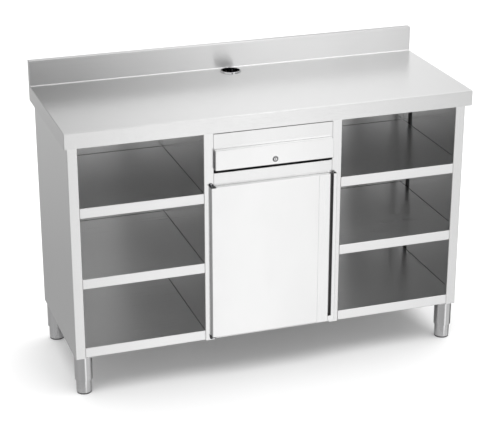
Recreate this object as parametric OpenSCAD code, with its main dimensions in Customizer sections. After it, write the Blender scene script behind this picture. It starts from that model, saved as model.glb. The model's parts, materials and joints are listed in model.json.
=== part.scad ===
// Waiter service station: a stainless steel counter on four adjustable feet, with two
// open shelf bays, a central drawer with a cam lock and a hinged cupboard door.
// The front faces -Y, X runs along the worktop, and the origin lies on the floor
// under the middle of the worktop.

/* [Worktop] */
// Length of the worktop
top_l = 1500; // [1300:10:2000]
// Depth of the worktop, with the upstand
top_d = 576; // [560:1:620]
// Height of the working surface above the floor
top_h = 998; // [960:1:1040]
// Height of the folded edge round the worktop
skirt_h = 57; // [40:1:60]
// Height of the rear upstand above the worktop
upstand_h = 95; // [60:1:120]
// Thickness of the upstand box
upstand_t = 23; // [18:1:30]
// Outside radius of the worktop's folds
top_r = 3; // [2:0.5:4]
// Thickness of the board under the worktop sheet
board_t = 18; // [12:1:20]

/* [Cable hole] */
// Radius of the hole cut in the worktop
cable_hole_r = 35.5; // [20:0.5:36]
// Distance from the hole's centre to the upstand
cable_hole_back = 43; // [43:1:60]

/* [Body] */
// Distance that the worktop stands past each end of the body
end_overhang = 14; // [5:1:30]
// Distance that the worktop stands past the front of the body
front_overhang = 26; // [24:1:40]
// Depth of the body
body_d = 530; // [520:1:535]
// Height of the body's underside above the floor
body_z = 145; // [130:1:160]
// Sheet thickness
sheet = 1.2; // [1:0.1:1.5]
// Outside radius of a fold
fold_r = 2.5; // [2:0.1:3]
// Width of the front face of each upright panel
face_w = 37; // [30:1:45]
// Half the distance between the outer faces of the two partitions
split_x = 257; // [240:1:300]

/* [Shelves] */
// Height of the folded front edge of a shelf
shelf_edge = 38; // [30:1:40]
// Height of the lowest shelf's top above the body's underside
low_shelf_top = 40; // [40:1:45]
// Distance from one shelf to the next
shelf_pitch = 264.6; // [240:0.2:270]

/* [Legs] */
// Outside radius of a leg tube
leg_r = 32; // [25:0.5:32]
// Wall thickness of a leg tube
leg_wall = 1.5; // [1:0.1:2]
// Radius of an adjustable foot
foot_r = 27.8; // [20:0.1:29]
// Height of the bottom of the leg tubes above the floor
foot_h = 53; // [50:0.2:80]
// Distance from the end of the body to the middle of a leg
leg_in_x = 32.5; // [32.5:0.5:60]
// Distance from the front of the body to the middle of a front leg
leg_in_front = 33; // [33:1:60]
// Distance from the back of the body to the middle of a rear leg
leg_in_back = 40; // [35:1:60]

/* [Drawer] */
// Width of the drawer front
drawer_w = 438.4; // [400:0.2:439]
// Height of the drawer front
drawer_h = 73.5; // [70:0.5:76]
// Height of the drawer front's lower edge above the floor
drawer_z = 800; // [799:1:802]
// Thickness of the drawer front and the door
front_t = 17.1; // [15:0.1:17.5]
// Gap between the body and the back of the door and drawer front
front_gap = 1.2; // [1:0.1:1.5]
// Height of the lock above the lower edge of the drawer front
lock_up = 20.4; // [16:0.2:24]

/* [Door] */
// Width of the door
door_w = 470.4; // [460:0.2:480]
// Height of the door's lower edge above the floor
door_z = 160; // [158:1:165]
// Height of the door's upper edge above the floor
door_top = 739; // [730:1:741]
// Width of the grip strip on the door's free edge
grip_w = 68.2; // [60:0.2:80]
// Width of the finger slot in the grip strip
slot_w = 12.2; // [10:0.2:16]
// Width of the rim outside the finger slot
rim_w = 14.5; // [10:0.5:18]
// Height of the solid foot below the finger slot
slot_foot = 20; // [10:1:30]

/* [Hidden] */
$fn = 64;

// Joints between neighbouring sheets are left this wide
seam = 0.3;
// Extra length of a cut that runs out of a solid
cut = 1;

half_l = top_l / 2;
half_d = top_d / 2;
skirt_z = top_h - skirt_h;
board_z = top_h - sheet - board_t;
upstand_y = half_d - upstand_t;
upstand_top = top_h + upstand_h;
front_skirt_lip = 15;
end_skirt_lip = end_overhang - 2;
cove_r = 2.5;
cable_y = upstand_y - cable_hole_back;
grommet_wall = 1.2;
grommet_gap = 0.1;
grommet_drop = 4;
grommet_rim = 3.2;
grommet_rim_t = 4;
grommet_rim_r = 1.4;

half_w = half_l - end_overhang;
front_y = -half_d + front_overhang;
back_y = front_y + body_d;
body_top = board_z;
face_x = half_w - face_w;
open_x = split_x - face_w;
lip = 14;
rear_flange = 36;
inner_back_y = back_y - 2 * sheet;

shelf_drop = 25;
shelf_lip = 9;
rear_relief = 20;
low_shelf_z = body_z + low_shelf_top;
shelf_zs = [for (i = [0:2]) low_shelf_z + i * shelf_pitch];
rib_w = 60;
rib_h = 16;

fascia_z = drawer_z + drawer_h - 7.5;
fascia_top = skirt_z - 11;
fascia_lip = 25;
rail_top = drawer_z - 14;
rail_z = door_top - 15;
top_rail_h = 34;
top_rail_lip = 26;
rear_rail_lip = 30;
screw_r = 2;
screw_head_r = 4;
screw_head_t = 1.8;
screw_depth = 13;
screw_clearance = 0.2;
front_screw_y = front_y + 14;
rear_screw_y = inner_back_y - 15;
side_screw_xs = [-half_w + 130, -split_x - 100];
screw_points =
    [for (x = side_screw_xs, side = [-1, 1], y = [front_screw_y, rear_screw_y]) [side * x, y]];

leg_x = half_w - leg_in_x;
leg_front_y = front_y + leg_in_front;
leg_rear_y = back_y - leg_in_back;
legs = [[-leg_x, leg_front_y], [leg_x, leg_front_y], [-leg_x, leg_rear_y], [leg_x, leg_rear_y]];
tube_h = body_z - foot_h;
bottom_flange = 62;
plate_w = 56;
plate_d = 36;
plate_t = 3;
leg_bolt_r = 5;
plug_h = 16;
insert_h = 22;
stem_r = 8;
stem_top = 118;
stem_gap = 0.05;
pad_h = 4;
pad_r = foot_r - 0.8;

front_rear_y = front_y - front_gap;
front_face_y = front_rear_y - front_t;
pull_end = 12;
pull_lip = 3;
tray_x = 205;
tray_z = drawer_z + 6;
tray_h = 56;
tray_front_y = front_y + 26;
tray_back_y = front_y + 432;
slide_t = 12.5;
slide_z = tray_z + 4;
slide_h = 45;
slide_l = 400;
slide_y = front_y + 7;
bracket_t = 1.5;
bracket_x = tray_x + slide_t;
bracket_drop = 5;
bracket_flange = 14;

lock_z = drawer_z + lock_up;
lock_r = 9.4;
lock_face_r = 10.6;
lock_face_t = 1.6;
plug_r = 6;
cam_y = front_y + 6;
cam_t = 2;
cam_l = 46;
cam_w = 13;
cam_slot_left = 12;
cam_slot_right = 44;
nut_r = 13;
nut_t = 4;

door_x = door_w / 2;
skin_t = 1;
grip_x = door_x - grip_w;
rim_x = door_x - rim_w;
slot_x = rim_x - slot_w;
hook_w = 3;
hook_d = 4;
foot_seam = 0.8;
front_r = 2;
pivot_x = -door_x + 4.2;
pivot_y = front_rear_y - 9;
pin_r = 2.5;
pin_gap = 0.05;
bush_h = 20;
bush_w = 18;
bush_wall = 4;
bracket_plate = 2.2;
bracket_gap = 0.8;
pivot_w = 16;
pivot_leg = 11;
pivot_corner = 6;
pivot_screw_up = 6.8;
pivot_screw_r = 1.6;
pivot_screw_zs = [door_z - bracket_gap - pivot_screw_up, door_top + bracket_gap + pivot_screw_up];
washer_r = 5;
pin_l = 18;

steel = "gainsboro";
zinc = "silver";
black = "#202022";

// A folded sheet's section. The path is its outside line, and the sheet lies on the
// left of the path. Each inner point of the path is a right-angled fold.
module fold_section(path, t = sheet, r = fold_r) {
    last = len(path) - 1;
    for (i = [0:last - 1]) {
        start = i == 0 ? 0 : fold_trim(path, i, t, r);
        stop = i == last - 1 ? 0 : fold_trim(path, i + 1, t, r);
        along = unit(path[i + 1] - path[i]);
        side = turned(along);
        a = path[i] + along * start;
        b = path[i + 1] - along * stop;
        polygon([a, b, b + side * t, a + side * t]);
    }
    for (i = [1:last - 1]) fold_corner(path, i, t, r);
}

function unit(v) = v / norm(v);
function turned(v) = [-v[1], v[0]];
function turns_left(path, i) =
    unit(path[i + 1] - path[i]) * turned(unit(path[i] - path[i - 1])) > 0;
function fold_trim(path, i, t, r) = turns_left(path, i) ? r : r - t;

module fold_corner(path, i, t, r) {
    into = unit(path[i] - path[i - 1]);
    out = unit(path[i + 1] - path[i]);
    centre = path[i] + (out - into) * fold_trim(path, i, t, r);
    translate(centre)
        intersection() {
            difference() {
                circle(r);
                circle(r - t);
            }
            polygon([[0, 0], into * r, (into - out) * r, -out * r]);
        }
}

// Sweeps a section drawn in the YZ plane along X
module along_x(x0, x1) {
    translate([x0, 0, 0]) rotate([90, 0, 90]) linear_extrude(x1 - x0) children();
}

// Sweeps a section drawn in the XZ plane along Y
module along_y(y0, y1) {
    translate([0, y1, 0]) rotate([90, 0, 0]) linear_extrude(y1 - y0) children();
}

// Sweeps a section drawn in the XY plane along Z
module along_z(z0, z1) {
    translate([0, 0, z0]) linear_extrude(z1 - z0) children();
}

// A block between two corners
module block(low, high) {
    translate(low) cube(high - low);
}

// A rod along Y
module rod_y(x, z, y0, y1, r) {
    translate([x, y0, z]) rotate([-90, 0, 0]) cylinder(h = y1 - y0, r = r);
}

// A rectangle with round corners
module round_rect(low, high, r) {
    for (x = [low[0] + r, high[0] - r], y = [low[1] + r, high[1] - r]) translate([x, y]) circle(r);
    translate([low[0] + r, low[1]]) square([high[0] - low[0] - 2 * r, high[1] - low[1]]);
    translate([low[0], low[1] + r]) square([high[0] - low[0], high[1] - low[1] - 2 * r]);
}

module both_sides() {
    children();
    mirror([1, 0, 0]) children();
}

// ---- worktop ----

// A block with its upright edges and its upper edges rounded
module soft_block(low, high, r) {
    intersection() {
        along_z(low[2], high[2])
            round_rect([low[0], low[1]], [high[0], high[1]], r);
        along_x(low[0], high[0])
            round_rect([low[1], low[2] - 2 * r], [high[1], high[2]], r);
        along_y(low[1], high[1])
            round_rect([low[0], low[2] - 2 * r], [high[0], high[2]], r);
    }
}

module worktop_form(inset, z0) {
    x = half_l - inset;
    y = half_d - inset;
    r = top_r - inset;
    soft_block([-x, -y, z0], [x, y, top_h - inset], r);
    soft_block([-x, upstand_y + inset, z0], [x, y, upstand_top - inset], r);
}

module upstand_cove() {
    side = cove_r + sheet / 2;
    along_x(-half_l + top_r, half_l - top_r)
        difference() {
            translate([upstand_y - cove_r, top_h - sheet / 2]) square(side);
            translate([upstand_y - cove_r, top_h + cove_r]) circle(cove_r);
        }
}

module worktop() {
    color(steel)
        difference() {
            union() {
                difference() {
                    worktop_form(0, skirt_z);
                    worktop_form(sheet, skirt_z - cut);
                }
                upstand_cove();
                along_x(-half_l + top_r, half_l - top_r)
                    translate([-half_d + sheet / 2, skirt_z]) square([front_skirt_lip, sheet]);
                both_sides()
                    along_y(-half_d + top_r, half_d - top_r)
                        translate([-half_l + sheet / 2, skirt_z]) square([end_skirt_lip, sheet]);
            }
            translate([0, cable_y, top_h - 2 * sheet]) cylinder(h = 3 * sheet, r = cable_hole_r);
        }
}

module worktop_board() {
    x = half_l - top_r;
    y = half_d - top_r;
    color("tan")
        difference() {
            block([-x, -y, board_z], [x, y, top_h - sheet]);
            translate([0, cable_y, board_z - cut]) cylinder(h = board_t + 2 * cut, r = cable_hole_r + 0.5);
            for (p = screw_points)
                translate([p[0], p[1], board_z - cut]) cylinder(h = screw_depth + cut, r = screw_r);
        }
}

module cable_grommet() {
    bore_r = cable_hole_r - grommet_wall;
    low = board_z - grommet_drop;
    high = top_h + grommet_rim_t;
    rim_r = cable_hole_r + grommet_rim;
    color(steel)
        translate([0, cable_y, 0])
            rotate_extrude()
                polygon([[bore_r, low], [cable_hole_r - grommet_gap, low],
                    [cable_hole_r - grommet_gap, top_h], [rim_r, top_h],
                    [rim_r, high - grommet_rim_r], [rim_r - grommet_rim_r, high],
                    [bore_r + grommet_rim_r, high], [bore_r, high - grommet_rim_r]]);
}

// ---- uprights ----

// An upright panel whose skin stands at x = 0 and whose faces turn towards +X
module upright(foot_flange) {
    along_z(body_z, body_top)
        mirror([1, 0])
            fold_section([[-face_w, front_y + lip], [-face_w, front_y], [0, front_y],
                [0, inner_back_y + sheet], [-rear_flange, inner_back_y + sheet]]);
    block([sheet / 2, front_y + fold_r, body_z], [foot_flange, inner_back_y - seam, body_z + sheet]);
}

module side_panel() {
    color(steel)
        difference() {
            translate([-half_w, 0, 0]) upright(bottom_flange);
            for (y = [leg_front_y, leg_rear_y])
                translate([-leg_x, y, body_z - cut]) cylinder(h = sheet + 2 * cut, r = leg_bolt_r + 0.5);
        }
}

module left_side_panel() { side_panel(); }
module right_side_panel() { mirror([1, 0, 0]) side_panel(); }

module partition() {
    translate([-split_x, 0, 0]) upright(face_w - lip);
}

module left_partition() {
    color(steel)
        difference() {
            partition();
            pivot_screw_holes();
        }
}

module right_partition() {
    color(steel) mirror([1, 0, 0]) partition();
}

module back_panel() {
    color(steel)
        block([-half_w, back_y - sheet, body_z], [half_w, back_y, body_top]);
}

rivet_xs = [-half_w + 20, -split_x + 20, split_x - 20, half_w - 20];
rivet_zs = [for (i = [0:5]) body_z + 30 + i * (body_top - body_z - 60) / 5];

module back_panel_rivets() {
    color(zinc)
        for (x = rivet_xs, z = rivet_zs)
            translate([x, back_y, z])
                rotate([-90, 0, 0])
                    intersection() {
                        cylinder(h = 1.4, r = 3.2, $fn = 24);
                        translate([0, 0, -3.2]) sphere(4.6, $fn = 24);
                    }
}

// ---- shelves ----

// A shelf between x0 and x1, folded down at its sides and its back. Its folded front edge
// runs between f0 and f1.
module shelf(x0, x1, f0, f1, z, drop = shelf_drop) {
    rear_y = inner_back_y - seam;
    step_y = front_y + lip + 1;
    deck_y = rear_y - rear_relief;
    color(steel) {
        along_x(f0, f1)
            fold_section([[step_y, z], [front_y, z], [front_y, z - shelf_edge],
                [front_y + lip, z - shelf_edge], [front_y + lip, z - shelf_edge + shelf_lip]]);
        along_y(step_y, deck_y)
            fold_section([[x1, z - drop], [x1, z], [x0, z], [x0, z - drop]]);
        along_x(x0 + fold_r, x1 - fold_r)
            mirror([1, 0])
                fold_section([[-deck_y, z], [-rear_y, z], [-rear_y, z - drop]]);
    }
}

module side_shelf(level, drop = shelf_drop) {
    shelf(-half_w + sheet, -split_x, -face_x + seam, -split_x - seam, shelf_zs[level], drop);
}

module left_upper_shelf() { side_shelf(2); }
module left_middle_shelf() { side_shelf(1); }
module left_lower_shelf() { side_shelf(0); }
module right_upper_shelf() { mirror([1, 0, 0]) side_shelf(2); }
module right_middle_shelf() { mirror([1, 0, 0]) side_shelf(1); }
module right_lower_shelf() { mirror([1, 0, 0]) side_shelf(0); }

module cabinet_floor() {
    shelf(-split_x + sheet, split_x - sheet, -open_x + seam, open_x - seam, low_shelf_z);
}

// A hat-shaped rib under a shelf, from x0 to x1
module rib(x0, x1, z) {
    y = (front_y + back_y) / 2;
    along_x(x0, x1)
        translate([y, z - sheet])
            for (side = [0, 1])
                mirror([side, 0]) {
                    translate([rib_w / 2 - 15, -sheet]) square([15, sheet]);
                    translate([rib_w / 2 - 15 - sheet, -rib_h]) square([sheet, rib_h]);
                    translate([0, -rib_h]) square([rib_w / 2 - 15, sheet]);
                }
}

module shelf_stiffeners() {
    end_gap = 12;
    color(zinc) {
        both_sides()
            for (z = shelf_zs) rib(-half_w + sheet + end_gap, -split_x - end_gap, z);
        rib(-split_x + sheet + end_gap, split_x - sheet - end_gap, low_shelf_z);
    }
}

// ---- rails ----

// A rail with a plain front face and two lips turned back
module rail(x0, x1, z0, z1, depth) {
    along_x(x0, x1)
        fold_section([[front_y + depth, z1], [front_y, z1], [front_y, z0], [front_y + lip, z0]]);
}

// The holes that the worktop's screws pass through
module screw_holes() {
    for (p = screw_points)
        translate([p[0], p[1], body_top - 2 * sheet])
            cylinder(h = 2 * sheet + cut, r = screw_r + screw_clearance);
}

module front_top_rail() {
    color(steel)
        difference() {
            rail(-face_x + seam, -split_x - seam, body_top - top_rail_h, body_top, top_rail_lip);
            screw_holes();
        }
}

module left_top_rail() { front_top_rail(); }
module right_top_rail() { mirror([1, 0, 0]) front_top_rail(); }

module rear_top_rail() {
    y = inner_back_y - seam;
    color(steel)
        difference() {
            both_sides()
                along_x(-half_w + rear_flange + seam, -split_x - seam)
                    mirror([1, 0])
                        fold_section([[-y + rear_rail_lip, body_top], [-y, body_top],
                            [-y, body_top - top_rail_h]]);
            screw_holes();
        }
}

module drawer_fascia() {
    color(steel) rail(-open_x + seam, open_x - seam, fascia_z, fascia_top, fascia_lip);
}

module middle_rail() {
    color(steel)
        difference() {
            rail(-open_x + seam, open_x - seam, rail_z, rail_top, 30);
            block([-cam_slot_left, cam_y - 2, rail_top - 2 * sheet],
                [cam_slot_right, cam_y + cam_t + 2, rail_top + cut]);
        }
}

module worktop_screws() {
    color(zinc)
        for (p = screw_points)
            translate([p[0], p[1], board_z - sheet]) {
                cylinder(h = sheet + screw_depth, r = screw_r, $fn = 24);
                translate([0, 0, -screw_head_t]) cylinder(h = screw_head_t, r = screw_head_r, $fn = 24);
            }
}

// ---- legs and feet ----

module at_legs() {
    for (p = legs) translate([p[0], p[1], 0]) children();
}

module leg_plates() {
    z = body_z + sheet;
    color(zinc)
        for (p = legs) {
            outer = p[0] < 0 ? -half_w + sheet + seam : half_w - sheet - seam - plate_w;
            difference() {
                block([outer, p[1] - plate_d / 2, z], [outer + plate_w, p[1] + plate_d / 2, z + plate_t]);
                translate([p[0], p[1], z - cut]) cylinder(h = plate_t + 2 * cut, r = leg_bolt_r + 0.5);
            }
        }
}

module leg_bolts() {
    head_z = body_z + sheet + plate_t;
    color(zinc)
        at_legs() {
            translate([0, 0, body_z - plug_h + 1]) cylinder(h = head_z - body_z + plug_h, r = leg_bolt_r);
            translate([0, 0, head_z]) cylinder(h = 1.5, r = 10);
            translate([0, 0, head_z + 1.5]) cylinder(h = 6.4, r = 9.2, $fn = 6);
        }
}

module leg_top_plugs() {
    color(zinc)
        at_legs()
            difference() {
                translate([0, 0, body_z - plug_h]) cylinder(h = plug_h, r = leg_r - leg_wall);
                translate([0, 0, body_z - plug_h + 1]) cylinder(h = plug_h, r = leg_bolt_r);
            }
}

module leg_tubes() {
    color(steel)
        at_legs()
            difference() {
                translate([0, 0, foot_h]) cylinder(h = tube_h, r = leg_r);
                translate([0, 0, foot_h - cut]) cylinder(h = tube_h + 2 * cut, r = leg_r - leg_wall);
            }
}

module leg_thread_inserts() {
    color(black)
        at_legs()
            difference() {
                translate([0, 0, foot_h]) cylinder(h = insert_h, r = leg_r - leg_wall);
                translate([0, 0, foot_h - cut]) cylinder(h = insert_h + 2 * cut, r = stem_r + stem_gap);
            }
}

module foot(i) {
    top_z = foot_h - seam;
    color(steel)
        translate([legs[i][0], legs[i][1], 0])
            rotate_extrude()
                polygon([[0, pad_h], [foot_r - 1.5, pad_h], [foot_r, pad_h + 1.5], [foot_r, top_z - 1],
                    [foot_r - 1, top_z], [stem_r, top_z], [stem_r, stem_top - 1.5],
                    [stem_r - 1.5, stem_top], [0, stem_top]]);
}

module pad(i) {
    color(black)
        translate([legs[i][0], legs[i][1], 0])
            rotate_extrude()
                polygon([[0, 0], [pad_r - 1, 0], [pad_r, 1], [pad_r, pad_h - 1],
                    [pad_r - 1, pad_h], [0, pad_h]]);
}

module foot_front_left() { foot(0); }
module foot_front_right() { foot(1); }
module foot_rear_left() { foot(2); }
module foot_rear_right() { foot(3); }
module pad_front_left() { pad(0); }
module pad_front_right() { pad(1); }
module pad_rear_left() { pad(2); }
module pad_rear_right() { pad(3); }

// ---- drawer slides ----

module slide_brackets() {
    y0 = slide_y + 8;
    y1 = slide_y + slide_l;
    z0 = slide_z - bracket_drop;
    z1 = slide_z + slide_h + bracket_drop;
    wall_x = split_x - sheet;
    web_x = bracket_x + bracket_t;
    color(zinc)
        both_sides()
            along_y(y0, y1)
                fold_section([[-wall_x, z1 + bracket_flange], [-wall_x, z1], [-web_x, z1],
                    [-web_x, z0], [-wall_x, z0], [-wall_x, z0 - bracket_flange]], bracket_t);
}

// One member of a drawer slide: a web of height h at x, with arms from a to b
module slide_member(x, a, b, z, h) {
    block([x, slide_y, z], [x + sheet, slide_y + slide_l, z + h]);
    for (edge = [z, z + h - sheet])
        block([min(x, a), slide_y, edge], [max(x + sheet, b), slide_y + slide_l, edge + sheet]);
}

module slide_outer_members() {
    x = -bracket_x;
    color(zinc) both_sides() slide_member(x, x, x + 9.5, slide_z, slide_h);
}

module slide_middle_members() {
    x = -bracket_x + 4.6;
    color(zinc)
        both_sides()
            slide_member(x, x - 3, x + 4.6, slide_z + sheet + 0.4, slide_h - 2 * sheet - 0.8);
}

module slide_inner_members() {
    x = -tray_x - sheet;
    inset = 2 * sheet + 0.8;
    color(zinc)
        both_sides()
            slide_member(x, x - 5, x + sheet, slide_z + inset, slide_h - 2 * inset);
}

// ---- drawer ----

// An open-backed pan standing on edge, with its front face at front_face_y
module front_pan(low_x, high_x, low_z, high_z, t) {
    r = front_r;
    difference() {
        intersection() {
            along_x(low_x, high_x)
                round_rect([front_face_y, low_z], [front_rear_y + 2 * r, high_z], r);
            along_z(low_z, high_z)
                round_rect([low_x, front_face_y], [high_x, front_rear_y + 2 * r], r);
            block([low_x, front_face_y, low_z], [high_x, front_rear_y, high_z]);
        }
        block([low_x + t, front_face_y + t, low_z + t], [high_x - t, front_rear_y + cut, high_z - t]);
    }
}

module drawer_front_skin() {
    half = drawer_w / 2;
    color(steel)
        difference() {
            front_pan(-half, half, drawer_z, drawer_z + drawer_h, skin_t);
            block([-half + pull_end, front_face_y + pull_lip, drawer_z - cut],
                [half - pull_end, front_rear_y + cut, drawer_z + 2 * skin_t]);
            rod_y(0, lock_z, front_face_y - cut, front_rear_y, lock_r + 0.1);
        }
}

module drawer_front_liner() {
    half = drawer_w / 2 - skin_t;
    color(steel)
        difference() {
            block([-half, front_rear_y - skin_t, drawer_z + skin_t],
                [half, front_rear_y, drawer_z + drawer_h - skin_t]);
            rod_y(0, lock_z, front_rear_y - 2 * cut, front_rear_y + cut, lock_r + 0.1);
        }
}

module drawer_tray() {
    z1 = tray_z + tray_h;
    ear = 16;
    inner_y = front_rear_y;
    color(steel) {
        block([-tray_x, tray_front_y, tray_z], [tray_x, tray_back_y, tray_z + sheet]);
        for (y = [tray_front_y, tray_back_y - sheet])
            block([-tray_x, y, tray_z], [tray_x, y + sheet, z1]);
        both_sides() {
            block([-tray_x, inner_y, tray_z + 14], [-tray_x + sheet, tray_back_y, z1]);
            block([-tray_x, tray_front_y, tray_z], [-tray_x + sheet, tray_back_y, z1]);
            block([-tray_x, inner_y, tray_z + 14], [-tray_x + ear, inner_y + sheet, z1]);
            block([-tray_x, tray_front_y, z1 - sheet], [-tray_x + 8, tray_back_y, z1]);
        }
    }
}

// ---- drawer lock ----

module lock_housing() {
    color(zinc)
        difference() {
            union() {
                rod_y(0, lock_z, front_face_y - lock_face_t, front_face_y, lock_face_r);
                rod_y(0, lock_z, front_face_y - cut, cam_y - 1, lock_r);
            }
            rod_y(0, lock_z, front_face_y - 2 * lock_face_t, cam_y, plug_r + pin_gap);
        }
}

module lock_nut() {
    color(zinc)
        difference() {
            translate([0, front_rear_y, lock_z]) rotate([-90, 0, 0]) cylinder(h = nut_t, r = nut_r, $fn = 6);
            rod_y(0, lock_z, front_rear_y - cut, front_rear_y + nut_t + cut, lock_r);
        }
}

module lock_plug() {
    key_w = 2.2;
    key_h = 8;
    color(zinc)
        difference() {
            union() {
                rod_y(0, lock_z, front_face_y - lock_face_t - 0.4, cam_y - 0.2, plug_r);
                block([-3, cam_y - cut, lock_z - 3], [3, cam_y + cam_t, lock_z + 3]);
            }
            block([-key_w / 2, front_face_y - 2 * lock_face_t, lock_z - key_h / 2],
                [key_w / 2, front_face_y + 6, lock_z + key_h / 2]);
            rod_y(0, lock_z, cam_y - 6, cam_y + cam_t + cut, 1.5);
        }
}

module lock_cam() {
    color(zinc)
        difference() {
            union() {
                rod_y(0, lock_z, cam_y, cam_y + cam_t, cam_w / 2 + 1);
                block([0, cam_y, lock_z - cam_w / 2], [cam_l, cam_y + cam_t, lock_z + cam_w / 2]);
            }
            block([-3, cam_y - cut, lock_z - 3], [3, cam_y + cam_t + cut, lock_z + 3]);
        }
}

module lock_cam_screw() {
    color(zinc) {
        rod_y(0, lock_z, cam_y - 5, cam_y + cam_t, 1.5);
        rod_y(0, lock_z, cam_y + cam_t, cam_y + cam_t + 2.4, 5);
    }
}

// ---- door ----

module door_skin() {
    color(steel)
        difference() {
            front_pan(-door_x, grip_x + 4, door_z, door_top, skin_t);
            block([grip_x - seam, front_face_y - cut, door_z - cut],
                [grip_x + 5, front_rear_y + cut, door_top + cut]);
            for (z = [door_z - cut, door_top - skin_t - cut])
                block([-door_x - cut, front_face_y - cut, z],
                    [-door_x + bush_w, front_rear_y + cut, z + skin_t + 2 * cut]);
        }
}

module door_liner() {
    color(steel)
        block([-door_x + skin_t, front_rear_y - skin_t, door_z + skin_t],
            [grip_x - seam, front_rear_y, door_top - skin_t]);
}

// The section of the grip strip: a hooked lip, a finger channel and a hollow rim
module grip_section() {
    y0 = front_face_y;
    y1 = front_rear_y;
    wall_x = slot_x - hook_w;
    inside_d = front_t - 2 * skin_t;
    difference() {
        union() {
            translate([grip_x, y0]) square([wall_x - grip_x, front_t]);
            translate([wall_x - skin_t, y0]) square([hook_w + skin_t, hook_d]);
            translate([grip_x, y1 - skin_t]) square([grip_w - front_r, skin_t]);
            round_rect([rim_x, y0], [door_x, y1], front_r);
            translate([rim_x, y1 - 2 * front_r]) square(2 * front_r);
        }
        translate([grip_x + skin_t, y0 + skin_t]) square([wall_x - grip_x - 2 * skin_t, inside_d]);
        translate([rim_x + skin_t, y0 + skin_t]) square([rim_w - 2 * skin_t, inside_d]);
    }
}

module door_grip() {
    half_t = skin_t / 2;
    front = front_face_y + half_t;
    rear = front_rear_y - half_t;
    color(steel) {
        along_z(door_z, door_top) grip_section();
        difference() {
            block([slot_x - hook_w - half_t, front_face_y, door_z],
                [rim_x + front_r, rear, door_z + slot_foot]);
            block([slot_x, front_face_y - cut, door_z - cut],
                [slot_x + foot_seam, front_face_y + hook_d, door_z + slot_foot + cut]);
        }
        for (z = [door_z, door_top - skin_t])
            block([grip_x + half_t, front, z], [slot_x - half_t, rear, z + skin_t]);
    }
}

module door_pivot_bushes() {
    x0 = -door_x + skin_t;
    y0 = front_face_y + skin_t;
    y1 = front_rear_y - skin_t;
    bore_h = bush_h - bush_wall;
    color(black)
        for (z = [[door_z, door_z - cut], [door_top - bush_h, door_top - bore_h]])
            difference() {
                block([x0, y0, z[0]], [x0 + bush_w - skin_t - seam, y1, z[0] + bush_h]);
                translate([pivot_x, pivot_y, z[1]]) cylinder(h = bore_h + cut, r = pin_r + pin_gap);
            }
}

module door_strike() {
    color(zinc) block([155, front_rear_y, rail_z - 15], [185, front_rear_y + 1.4, rail_z - 3]);
}

module door_buffers() {
    color(black)
        for (z = [door_z + 30, door_top - 34])
            rod_y(door_x - 8, z, front_rear_y, front_y - 0.1, 4);
}

// An angle bracket whose plate starts at z and holds a pivot pin, and whose leg is screwed
// to the partition. The leg stands up from the plate or hangs down (up = 1 or -1).
module pivot_bracket(z, up) {
    x0 = pivot_x - pivot_w / 2;
    x1 = pivot_x + pivot_w / 2;
    difference() {
        translate([0, 0, z])
            mirror([0, 0, up < 0 ? 1 : 0]) {
                block([x0, pivot_y - 6, 0], [x1, front_y, bracket_plate]);
                along_y(front_y - bracket_plate, front_y)
                    polygon([[x0, 0], [x1, 0], [x1, pivot_leg - pivot_corner],
                        [x1 - pivot_corner, pivot_leg], [x0, pivot_leg]]);
            }
        translate([pivot_x, pivot_y, z - 2 * bracket_plate]) cylinder(h = 4 * bracket_plate, r = pin_r);
        pivot_screw_holes();
    }
}

module pivot_screw_holes() {
    for (z = pivot_screw_zs)
        rod_y(pivot_x, z, front_y - bracket_plate - cut, front_y + sheet + cut, pivot_screw_r);
}

module pivot_brackets() {
    color(black) {
        pivot_bracket(door_z - bracket_gap, -1);
        pivot_bracket(door_top + bracket_gap, 1);
    }
}

module pivot_washers() {
    t = bracket_gap - 0.1;
    color("white")
        for (z = [door_z - bracket_gap, door_top + bracket_gap - t])
            translate([pivot_x, pivot_y, z])
                difference() {
                    cylinder(h = t, r = washer_r);
                    translate([0, 0, -cut]) cylinder(h = t + 2 * cut, r = pin_r);
                }
}

module pivot_pins() {
    low = door_z - bracket_gap - bracket_plate;
    high = door_top + bracket_gap + bracket_plate;
    color(zinc)
        for (z = [low, high - pin_l])
            translate([pivot_x, pivot_y, z]) cylinder(h = pin_l, r = pin_r);
}

module pivot_screws() {
    y = front_y - bracket_plate;
    color(zinc)
        for (z = pivot_screw_zs) {
            rod_y(pivot_x, z, y - 1.2, y, 3);
            rod_y(pivot_x, z, y, front_y + 6, pivot_screw_r);
        }
}

module door_catch() {
    color("white") block([150, front_y + 0.6, rail_z - 16], [190, front_y + lip + 4, rail_z]);
}

worktop();
worktop_board();
cable_grommet();
left_side_panel();
right_side_panel();
left_partition();
right_partition();
back_panel();
back_panel_rivets();
left_upper_shelf();
left_middle_shelf();
left_lower_shelf();
right_upper_shelf();
right_middle_shelf();
right_lower_shelf();
cabinet_floor();
shelf_stiffeners();
left_top_rail();
right_top_rail();
rear_top_rail();
drawer_fascia();
middle_rail();
worktop_screws();
leg_plates();
leg_bolts();
leg_top_plugs();
leg_tubes();
leg_thread_inserts();
foot_front_left();
foot_front_right();
foot_rear_left();
foot_rear_right();
pad_front_left();
pad_front_right();
pad_rear_left();
pad_rear_right();
slide_brackets();
slide_outer_members();
slide_middle_members();
slide_inner_members();
drawer_front_skin();
drawer_front_liner();
drawer_tray();
lock_housing();
lock_nut();
lock_plug();
lock_cam();
lock_cam_screw();
door_skin();
door_liner();
door_grip();
door_pivot_bushes();
door_strike();
door_buffers();
pivot_brackets();
pivot_pins();
pivot_washers();
pivot_screws();
door_catch();
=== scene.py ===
import json
import math

import bpy
from mathutils import Matrix, Vector


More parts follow.
